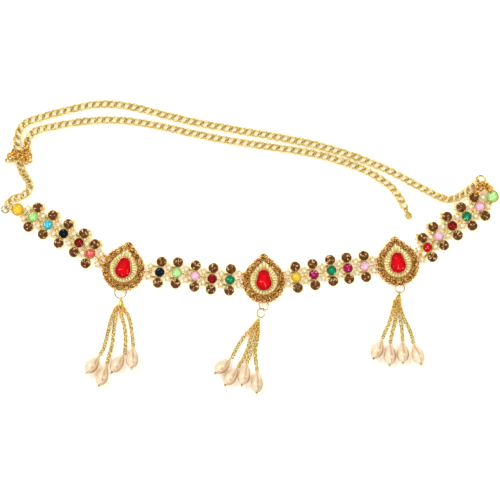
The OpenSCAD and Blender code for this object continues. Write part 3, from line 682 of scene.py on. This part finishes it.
def beadShape(radius):
    # a low dome of latitude rings on a short foot
    rise = np.linspace(*beadLook["fromTo"], beadLook["rows"])[:, None]
    turn = np.arange(beadLook["columns"])[None, :] * fullTurn / beadLook["columns"]
    out = np.cos(rise)
    points = np.stack([out * np.cos(turn), out * np.sin(turn), np.sin(rise) + 0 * turn], -1)
    points = points.reshape(-1, 3) * radius
    size = beadLook["rows"], beadLook["columns"]
    return points, facedOut(points, [gridFaces(*size), *lidsOf(*size)])


def makeBeads(name, middles, radius, finish):
    # the same upright bead at every place
    points, groups = beadShape(radius * mm)
    allPoints, allGroups = repeated(points, groups, middles, np.tile(np.eye(3), (len(middles), 1, 1)))
    buildPiece(name, allPoints, allGroups, finish)
    return len(middles)


def ringedBy(seats, count, reach, height, start):
    # evenly turned places round every seat, all at one height
    turn = start + np.arange(count) * fullTurn / count
    around = np.stack([np.cos(turn), np.sin(turn), 0 * turn], -1) * reach * mm
    middles = (seats[:, None, :] + around[None]).reshape(-1, 3)
    middles[:, 2] = height * mm
    return middles


def betweenSeats(seats, shift):
    # halfway places between neighbouring seats of one wreath, moved along the line from the wreath's middle
    centre = (seats.min(0) + seats.max(0)) / 2
    ringed = seats[np.argsort(np.arctan2(seats[:, 1] - centre[1], seats[:, 0] - centre[0]))]
    following = np.roll(ringed, -1, 0)
    neighbours = np.linalg.norm(ringed - following, axis=1) < beadLook["wreathGap"] * mm
    halfway = ((ringed + following) / 2)[neighbours]
    places = halfway + unit((halfway - centre) * [1, 1, 0]) * shift * mm
    places[:, 2] = beadLook["wreathHeight"] * mm
    return places


def besideUpper(run, columns, turnedTo):
    # an arc of places along the upper topaz of each column, on the side that looks to the medallion
    topazSeats = np.array(seatsOf("topaz_" + run))
    turn = np.radians(beadLook["sideTurns"])[:, None]
    places = []
    for node in columns:
        middle = np.array(seatsOf(node)[0])
        near = topazSeats[np.argsort(np.linalg.norm(topazSeats - middle, axis=1))[:2]]
        upper = near[np.argmax(near[:, 1])]
        up = (upper - middle) / np.linalg.norm(upper - middle)
        side = np.array([up[1], -up[0], 0.0]) * turnedTo
        places.append(upper + (np.cos(turn) * side + np.sin(turn) * up) * beadLook["sideReach"] * mm)
    places = np.concatenate(places)
    places[:, 2] = beadLook["sideHeight"] * mm
    return places


clawNodes = ["topaz_" + run for run in runNames] + beltNodes
clawSeats = np.array([seat for node in clawNodes for seat in seatsOf(node)])
claws = ringedBy(clawSeats, beadLook["clawsRound"], beadLook["clawReach"], beadLook["clawHeight"],
                 beadLook["clawStart"])
granules = ringedBy(crystalSeats, beadLook["granulesRound"], beadLook["granuleReach"],
                    beadLook["granuleHeight"], beadLook["granuleStart"])
outerBeads = np.concatenate([betweenSeats(seats, beadLook["wreathOut"]) for seats in wreathSeats])
innerSeats = np.concatenate([betweenSeats(seats, -beadLook["wreathIn"]) for seats in wreathSeats])
sidePlaces = np.concatenate([besideUpper("left", beltNodes[:5], 1), besideUpper("right", beltNodes[15:], -1)])
print("beads", makeBeads("claws", claws, beadLook["clawRadius"], gold),
      makeBeads("granules", granules, beadLook["granuleRadius"], creamGold),
      makeBeads("wreathBeads", outerBeads, beadLook["wreathRadius"], wreathGold),
      makeBeads("sideGranules", sidePlaces, beadLook["sideRadius"], creamGold))
makeSmallStones("innerWreath", innerSeats, "inner", wreathGlass)


# Medallions: fluted ring, rose bezel and the red pear stone
medalPlaces = {  # mm, mm, degrees
    "left": (-83.8, -10.7, 12.6),
    "centre": (9.2, -18.8, 0.0),
    "right": (98.1, -7.3, -7.5),
}
pearShapes = {
    # radius and height of the round end, radius and height of the tip
    "stone": (5.05, -2.9, 3.6, 2.1),
    "bezel": (5.6, -2.9, 4.1, 2.15),
    "ring": (9.75, -1.5, 1.65, 10.4),
}
pearSteps = {"tip": 41, "round": 161, "reach": 720}


def medalFrame(name):
    # a medallion's middle, and its axes turned about the upright one by its lean
    x, y, leaning = medalPlaces[name]
    a = math.radians(leaning)
    middle = np.array([x - layMiddle[0], y - layMiddle[1], 0.0])
    return middle, np.array([[math.cos(a), -math.sin(a), 0], [math.sin(a), math.cos(a), 0], [0, 0, 1.0]])


def pearPath(shape, count):
    # the hull of two circles, walked by the direction of its outward normal, then spaced evenly by length
    radius, low, tipRadius, high = pearShapes[shape]
    edge = math.acos((radius - tipRadius) / (high - low))  # normals nearer to upright than this are the tip's
    tip = np.linspace(-edge, edge, pearSteps["tip"])
    belly = np.linspace(edge, fullTurn - edge, pearSteps["round"])
    points = np.concatenate([
        np.stack([tipRadius * np.sin(tip), high + tipRadius * np.cos(tip)], -1),
        np.stack([radius * np.sin(belly), low + radius * np.cos(belly)], -1),
    ])
    start = pearSteps["tip"] // 2  # the very tip
    points = np.concatenate([points[start:], points[:start + 1]])
    length = np.concatenate([[0], np.cumsum(np.linalg.norm(np.diff(points, axis=0), axis=1))])
    steps = np.arange(count) * length[-1] / count
    return np.stack([np.interp(steps, length, points[:, k]) for k in range(2)], -1)


def pearReach(shape, centre, turns):
    # distance from a centre to the pear outline in each direction
    outline = pearPath(shape, pearSteps["reach"]) - centre
    angle = np.arctan2(outline[:, 0], outline[:, 1]) % fullTurn
    order = np.argsort(angle)
    return np.interp(turns % fullTurn, angle[order], np.hypot(*outline[order].T), period=fullTurn)


fluteLook = {
    "count": 26,
    "perFlute": 10,
    "rows": 9,
    "centre": (0.0, -1.5),  # mm
    "low": 2.9,
    "rise": 1.6,
    "under": 2.45,  # height of the closed underside
    "tuck": 0.1,  # how far the ring runs under the bezel
    "valleyHeight": 0.25,  # share of the rise
    "innerArch": (0.75, 0.3),  # share of the rise at the bezel, and the share of v over which it fills up
    "outerArch": (0.55, 0.45),  # shares of v where the fall to the rim starts and over which it runs
    "shade": (1.25, 1.5),  # strength and power of the painted shade in the valleys
}


def fluteSurface():
    # height = low + rise * (1/4 + 3/4 |cos(n a / 2)|) * arch(v), where a goes round and v runs from the bezel
    # to the rim; arch climbs in a straight line near the bezel and falls to the rim as a quarter circle
    around = fluteLook["count"] * fluteLook["perFlute"]
    turns = np.arange(around) * fullTurn / around
    centre = np.array(fluteLook["centre"])
    inner = pearReach("bezel", centre, turns) - fluteLook["tuck"]
    outer = pearReach("ring", centre, turns)
    v = np.linspace(0, 1, fluteLook["rows"])[:, None]
    reach = inner + (outer - inner) * v
    ridge = np.abs(np.cos(fluteLook["count"] * turns / 2))[None]
    least, filled = fluteLook["innerArch"]
    start, run = fluteLook["outerArch"]
    fall = np.sqrt(np.clip(1 - np.clip((v - start) / run, 0, 1) ** 2, 0, 1))
    arch = fall * (least + (1 - least) * np.clip(v / filled, 0, 1))
    share = fluteLook["valleyHeight"]
    height = fluteLook["low"] + fluteLook["rise"] * (share + (1 - share) * ridge) * arch
    strength, power = fluteLook["shade"]
    # painted shade, strongest at the bottom of each valley between the flutes
    valleyShade = np.clip(strength * (1 - ridge) ** power, 0, 1) * np.ones_like(v)
    under = np.full_like(height[:1], fluteLook["under"])
    reach = np.concatenate([reach, reach[-1:], reach[:1]])
    height = np.concatenate([height, under, under])
    valleyShade = np.concatenate([valleyShade, valleyShade[:2]])
    points = np.stack([centre[0] + reach * np.sin(turns), centre[1] + reach * np.cos(turns), height], -1)
    return points.reshape(-1, 3), gridFaces(len(reach), len(turns), wrapRows=True), valleyShade.ravel()


bezelLook = {
    "steps": 96,
    # mm outward and mm up
    "profile": [(-0.04, 2.5), (0.0, 4.9), (-0.08, 5.3), (-0.26, 5.5), (-0.44, 5.35), (-0.5, 4.9), (-0.5, 2.5)],
}


def bezelSurface():
    # a thin wall with a rounded top: its profile is carried along the bezel's outline
    path = pearPath("bezel", bezelLook["steps"])
    along = unit(np.roll(path, -1, 0) - np.roll(path, 1, 0))
    outward = np.stack([-along[:, 1], along[:, 0]], -1)
    side, height = np.array(bezelLook["profile"]).T
    flat = path[:, None, :] + outward[:, None, :] * side[None, :, None]
    points = np.concatenate([flat, np.tile(height[None, :, None], (len(path), 1, 1))], -1)
    return points.reshape(-1, 3), gridFaces(len(path), len(side), wrapRows=True)


redCut = {
    # share of the outline at even and odd points, height in mm, from the point under the stone to its table
    "rings": [
        (0.45, 0.45, 2.6, 2.6), (0.985, 0.985, 5.05, 5.05), (0.985, 0.985, 5.4, 5.4),
        (0.86, 0.90, 6.2, 6.0), (0.70, 0.66, 6.85, 6.95), (0.56, 0.56, 7.3, 7.3),
    ],
    "count": 24,
    "middle": (0.0, -2.0),
    "tones": ((0.30, 0.0, 0.002), (0.80, 0.001, 0.006), (1.0, 0.12, 0.09), 0.04, 0.8),
    "shine": 0.1,
}
redGlass = gemFinish("redGlass", *redCut["tones"], shine=redCut["shine"])


def redSurface():
    # pear outlines shrunk towards one point, level by level, with even and odd points apart
    count, middle = redCut["count"], np.array(redCut["middle"])
    outline = pearPath("stone", count) - middle
    odd = np.arange(count) % 2 == 1
    rings = []
    for evenShare, oddShare, evenHeight, oddHeight in redCut["rings"]:
        share = np.where(odd, oddShare, evenShare)[:, None]
        level = np.where(odd, oddHeight, evenHeight)[:, None]
        rings.append(np.concatenate([middle + outline * share, level], -1))
    points = np.concatenate(rings)
    walls = cutToTriangles(gridFaces(len(rings), count))
    table = fan(len(points) - count + np.arange(count), len(points))
    base = fan(np.arange(count), len(points) + 1)[:, [1, 0, 2]]
    tips = [[*middle, redCut["rings"][-1][2]], [*middle, redCut["rings"][0][2]]]
    reach = np.concatenate([np.full(count, ring[0]) for ring in redCut["rings"]] + [[0.0, 0.0]])
    return np.concatenate([points, tips]), [np.concatenate([walls, table, base])], reach


def makeMedallion(name):
    # the three shapes, drawn upright round the origin, are turned and moved to the medallion's place
    middle, axes = medalFrame(name)

    def laid(points):
        return (middle + points @ axes) * mm

    points, faces, valleyShade = fluteSurface()
    buildPiece("flutedRing_" + name, laid(points), facedOut(points, [faces]), fluteGold,
               pointMarks={"valleyShade": valleyShade})
    points, faces = bezelSurface()
    buildPiece("roseBezel_" + name, laid(points), facedOut(points, [faces]), roseGold)
    points, groups, reach = redSurface()
    tones = dice.uniform(0, 1, len(groups[0]))
    buildPiece("redPear_" + name, laid(points), facedOut(points, groups), redGlass,
               ["red_stone_" + name], smooth=False, faceMarks={"facet": tones}, pointMarks={"reach": reach})


for name in medalNames:
    makeMedallion(name)
print("medallions ready")


# Tassels: the strands' points repeat part.scad's, in mm
strandRoutes = {
    "left": [
        [[-88, -37.9, 0.8], [-90.4, -41, 0.8], [-92.7, -47.1, 0.8], [-95.2, -57.3, 0.8],
         [-97.3, -64.9, 0.8], [-99.5, -69.2, 1.2]],
        [[-88, -37.9, 2.5], [-89.1, -42.5, 2.5], [-89.8, -47.1, 1.5], [-90.5, -52, 0.8],
         [-91.8, -62.8, 0.8], [-94, -70.9, 0.8], [-95.2, -75.5, 1.2]],
        [[-85.3, -38.4, 2.5], [-85.8, -42, 2.5], [-84.9, -46.5, 1.6], [-83.7, -51, 0.8],
         [-82.9, -58, 0.8], [-83.3, -68.3, 1.2]],
        [[-85.3, -38.4, 0.8], [-83, -41, 0.8], [-80.7, -44.9, 0.8], [-79.1, -52, 0.8],
         [-77.8, -63.2, 1.2]],
    ],
    "centre": [
        [[2.9, -50.6, 0.8], [-0.5, -54, 0.8], [-4, -57.8, 0.8], [-8.4, -64.6, 0.8],
         [-11.7, -71.1, 1.2]],
        [[2.9, -50.6, 2.5], [1.6, -55, 2.5], [-0.1, -60, 1.6], [-1.3, -65, 0.8],
         [-4.2, -72, 0.8], [-7.5, -77.2, 1.2]],
        [[5.4, -51.1, 2.5], [4.4, -56, 2.5], [3.1, -60.5, 2.5], [1.5, -65, 2.5],
         [0, -70, 2], [-1.8, -74.6, 1.2]],
        [[5.4, -51.1, 0.8], [5.2, -56, 0.8], [4.5, -61, 0.8], [3.6, -66, 0.8],
         [3.7, -72, 0.8], [4.7, -79.5, 1.2]],
    ],
    "right": [
        [[96.6, -34.4, 0.8], [95.5, -39.5, 0.8], [93.1, -47.3, 0.8], [90.1, -54.3, 0.8],
         [88.5, -58.1, 1.2]],
        [[96.6, -34.4, 2.5], [97, -41.3, 2.5], [96.7, -47.3, 1.6], [94.9, -54.5, 0.8],
         [93.5, -61.1, 1.2]],
        [[99.1, -34.4, 2.5], [99.6, -40, 2.5], [99.9, -45.1, 2.3], [101.1, -52.7, 0.8],
         [101.5, -59.6, 1.2]],
        [[99.1, -34.4, 0.8], [100.3, -39.5, 0.8], [103.3, -47.3, 0.8], [106.7, -54, 0.8],
         [108.5, -61.1, 1.2]],
    ],
}
pearlSwings = {"left": [-36, -19, -33, -3], "centre": [-47, -36, -13, -1], "right": [-25, -3, 0, 19]}  # degrees
strandLook = {
    "pitch": 1.7,  # mm
    "linkLength": 3.0,
    "linkWidth": 3.3,
    "wire": 1.0,
    "steps": 8,
    "sides": 4,
    "roll": 34.0,  # degrees, to the left and right in turn
    "lift": 0.5,
    "gather": (1.2, 9.0),  # strength of the darker tone at the cap, and mm over which it falls by 1
}


def fineLinkShape():
    # a flat oval loop of thin wire
    steps, sides = strandLook["steps"], strandLook["sides"]
    t = np.arange(steps) * fullTurn / steps
    half = (strandLook["linkLength"] - strandLook["wire"]) / 2
    side = (strandLook["linkWidth"] - strandLook["wire"]) / 2
    path = np.stack([half * np.cos(t), side * np.sin(t), 0 * t], -1)
    across = np.stack([np.cos(t), np.sin(t), 0 * t], -1)
    up = np.tile([0.0, 0.0, 1.0], (len(t), 1))
    points = ringAround(path, across, up, strandLook["wire"] / 2, sides)
    return points, facedOut(points, [gridFaces(steps, sides, wrapRows=True)])


def makeStrands(name):
    # a fine link at every place along each route; the tone gathers towards the cap in a straight line
    points, groups = fineLinkShape()
    runs = [framesAlong(route, strandLook["pitch"], strandLook["roll"]) for route in strandRoutes[name]]
    middles = np.concatenate([path - [*layMiddle, -strandLook["lift"]] for path, _ in runs])
    axes = np.concatenate([turned for _, turned in runs])
    strength, over = strandLook["gather"]
    gather = np.concatenate([
        np.clip(strength - np.arange(len(path)) * strandLook["pitch"] / over, 0, 1) for path, _ in runs
    ])
    allPoints, allGroups = repeated(points, groups, middles, axes)
    buildPiece("strandLinks_" + name, allPoints * mm, allGroups, strandGold,
               ["tassel_strands_" + name], pointMarks={"gather": np.repeat(gather, len(points))})
    return len(middles)


print("strand links", [makeStrands(name) for name in medalNames])

pearlLook = {
    "length": 15.1,  # mm
    "diameter": 8.3,
    "gap": 0.72,
    "tilt": 18.0,  # degrees
    "rows": 26,
    "columns": 28,
    "widest": 0.64,  # share of the length from the strand
    "neckPower": 1.1,
    "neckRadius": 0.5,
    "tip": 0.95,
    "tipOut": 0.3,
    "bands": (4, 1.5, 3),  # bands round a pearl, their slant, and the power that narrows them
    "shadeSide": (0.68, -0.38, -0.34),
    "edge": 1.15,  # how much painted shade darkens the sides that are seen edge-on
    "flankShadeEdges": (-0.1, 0.85),
    "cream": (0.98, 0.79, 0.54),
    # the peach tone is painted shade, on the side away from the light and at the edges
    "shadePeach": (0.54, 0.23, 0.06),
    "blush": (0.43, 0.25, 0.095),
    "blushShares": (0.2, 0.7),  # from the clouds and from the bands
    "clouds": (190.0, 3.0),
    "cloudEdges": (0.4, 0.7),
    "skin": (900.0, 2.0),
    "skinRelief": (0.06, 0.0002),
    "lacquer": {"Roughness": 0.26, "Coat_Weight": 0.9, "Coat_Roughness": 0.06, "IOR": 1.53},
}


def nacreFinish():
    # cream on the lit side and peach as painted shade on the other, with blush bands along the drop and a soft
    # lacquer coat
    finish = Finish("nacre", **pearlLook["lacquer"])
    flankShade = finish.smoothly(finish.mark("flankShade"), *pearlLook["flankShadeEdges"])
    clouds = finish.smoothly(finish.cloud(*pearlLook["clouds"]), *pearlLook["cloudEdges"])
    cloudShare, bandShare = pearlLook["blushShares"]
    blush = clouds * cloudShare + finish.mark("band") * bandShare
    warm = finish.blend(blush, pearlLook["cream"], pearlLook["blush"])
    finish.give("Base Color", finish.blend(flankShade, warm, pearlLook["shadePeach"]))
    finish.relief(finish.cloud(*pearlLook["skin"]), *pearlLook["skinRelief"])
    return finish.material


nacre = nacreFinish()


def makePearls(name):
    # a pearl's radius: up to its widest place w it is d/2 * sin(90 degrees * t/w)^1.1, then a quarter ellipse;
    # the painted shade on the flank is the share of shadeSide in the normal, plus edge * (1 - upward part)^2
    t = (1 - np.cos(np.linspace(0, math.pi, pearlLook["rows"]))) / 2
    wide = pearlLook["widest"]
    neck = np.sin(math.pi / 2 * np.minimum(t / wide, 1)) ** pearlLook["neckPower"]
    foot = np.sqrt(np.clip(1 - (np.maximum(t - wide, 0) / (1 - wide)) ** 2, 0, 1))
    radius = np.maximum(pearlLook["neckRadius"], pearlLook["diameter"] / 2 * np.where(t < wide, neck, foot))
    turn = np.arange(pearlLook["columns"]) * fullTurn / pearlLook["columns"]
    points = np.stack([
        np.repeat(t * pearlLook["length"] + pearlLook["gap"], len(turn)),
        (radius[:, None] * np.cos(turn)).ravel(),
        (radius[:, None] * np.sin(turn)).ravel(),
    ], -1)
    groups = facedOut(points, [gridFaces(len(t), len(turn)), *lidsOf(len(t), len(turn))])
    bands, slant, power = pearlLook["bands"]
    band = (np.clip(np.cos(bands * turn[None, :] + slant * t[:, None]), 0, 1) ** power).ravel()
    tilt = math.radians(pearlLook["tilt"])
    middles, axes = [], []
    for route, swing in zip(strandRoutes[name], pearlSwings[name]):
        a = math.radians(swing - 90)
        along = np.array([math.cos(a) * math.cos(tilt), math.sin(a) * math.cos(tilt), math.sin(tilt)])
        level = np.array([-math.sin(a), math.cos(a), 0.0])
        middles.append(np.array(route[-1]) - [*layMiddle, 0])
        axes.append([along, level, np.cross(along, level)])
    middles, axes = np.array(middles), np.array(axes)
    allPoints, allGroups = repeated(points, groups, middles, axes)
    around = np.stack([0 * turn, np.cos(turn), np.sin(turn)], -1) @ axes
    # painted shade: darker towards shadeSide and where the surface turns away from straight up
    edge = (1 - np.clip(around[:, :, 2], 0, 1)) ** 2 * pearlLook["edge"]
    flankShade = np.repeat((around @ pearlLook["shadeSide"] + edge)[:, None, :], len(t), 1)
    buildPiece("pearlDrops_" + name, allPoints * mm, allGroups, nacre, ["pearls_" + name],
               pointMarks={"flankShade": flankShade.ravel(), "band": np.tile(band, len(middles))})
    ends = middles + (pearlLook["length"] + pearlLook["gap"] + pearlLook["tipOut"]) * axes[:, 0]
    makeBeads("pearlTips_" + name, ends * mm, pearlLook["tip"], wireBronze)


for name in medalNames:
    makePearls(name)
print("pearls ready")

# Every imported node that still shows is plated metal: gold, or what its name begins with here
nodeMetals = {"medallion": wreathGold, "tassel_rings": wireBronze, "left_end_ring": wireBronze}
for name, node in nodes.items():
    node.data.materials.clear()
    metal = next((finish for start, finish in nodeMetals.items() if name.startswith(start)), gold)
    node.data.materials.append(metal)


# Floor and light
studio = {
    "floorSize": 3.0,  # m
    "floorPoints": 9,
    "floorDrop": 0.0001,
    "floorTones": ((0.93, 0.925, 0.92), (0.95, 0.945, 0.945)),
    "floorClouds": (3.0, 2.0),
    "floorRoughness": 0.7,
    "glowTone": (1.0, 0.90, 0.56),
    "glow": 0.32,  # light that the table gives off
    "world": 0.44,
    "worldTone": (1.0, 0.99, 0.98, 1.0),
    "lamps": [
        # place, size, power, colour
        ((-0.7, 0.75, 1.4), 0.8, 15.0, (1.0, 0.995, 0.98)),
        ((0.9, 0.3, 1.2), 0.5, 5.5, (1.0, 0.98, 0.97)),
        ((0.1, -1.0, 1.1), 0.5, 6.0, (1.0, 0.99, 0.98)),
    ],
}


def makeFloor():
    # a wide sheet of points just under the chain, a function of two even parameters
    count = studio["floorPoints"]
    span = np.linspace(-studio["floorSize"] / 2, studio["floorSize"] / 2, count)
    x, y = np.meshgrid(span, span)
    points = np.stack([x, y, np.full_like(x, -studio["floorDrop"])], -1).reshape(-1, 3)
    mesh = bpy.data.meshes.new("tableTop")
    mesh.from_pydata(points.tolist(), [], gridFaces(count, count, wrapColumns=False).tolist())
    finish = Finish("paper", Roughness=studio["floorRoughness"], Emission_Color=studio["glowTone"],
                    Emission_Strength=studio["glow"])
    finish.give("Base Color", finish.blend(finish.cloud(*studio["floorClouds"]), *studio["floorTones"]))
    mesh.materials.append(finish.material)
    floor = bpy.data.objects.new("tableTop", mesh)
    bpy.context.scene.collection.objects.link(floor)


def makeLights():
    # every soft box faces the middle of the floor
    for number, (place, size, power, colour) in enumerate(studio["lamps"]):
        data = bpy.data.lights.new(f"softbox{number}", "AREA")
        data.size = size
        data.energy = power
        data.color = colour
        lamp = bpy.data.objects.new(f"softbox{number}", data)
        lamp.location = place
        lamp.rotation_euler = (-Vector(place)).to_track_quat("-Z", "Y").to_euler()
        bpy.context.scene.collection.objects.link(lamp)
    world = bpy.data.worlds.new("studioAir")
    world.use_nodes = True
    sky = world.node_tree.nodes["Background"]
    sky.inputs["Color"].default_value = studio["worldTone"]
    sky.inputs["Strength"].default_value = studio["world"]
    bpy.context.scene.world = world
    bpy.context.scene.view_settings.view_transform = "Standard"


makeFloor()
makeLights()
print("stage ready")
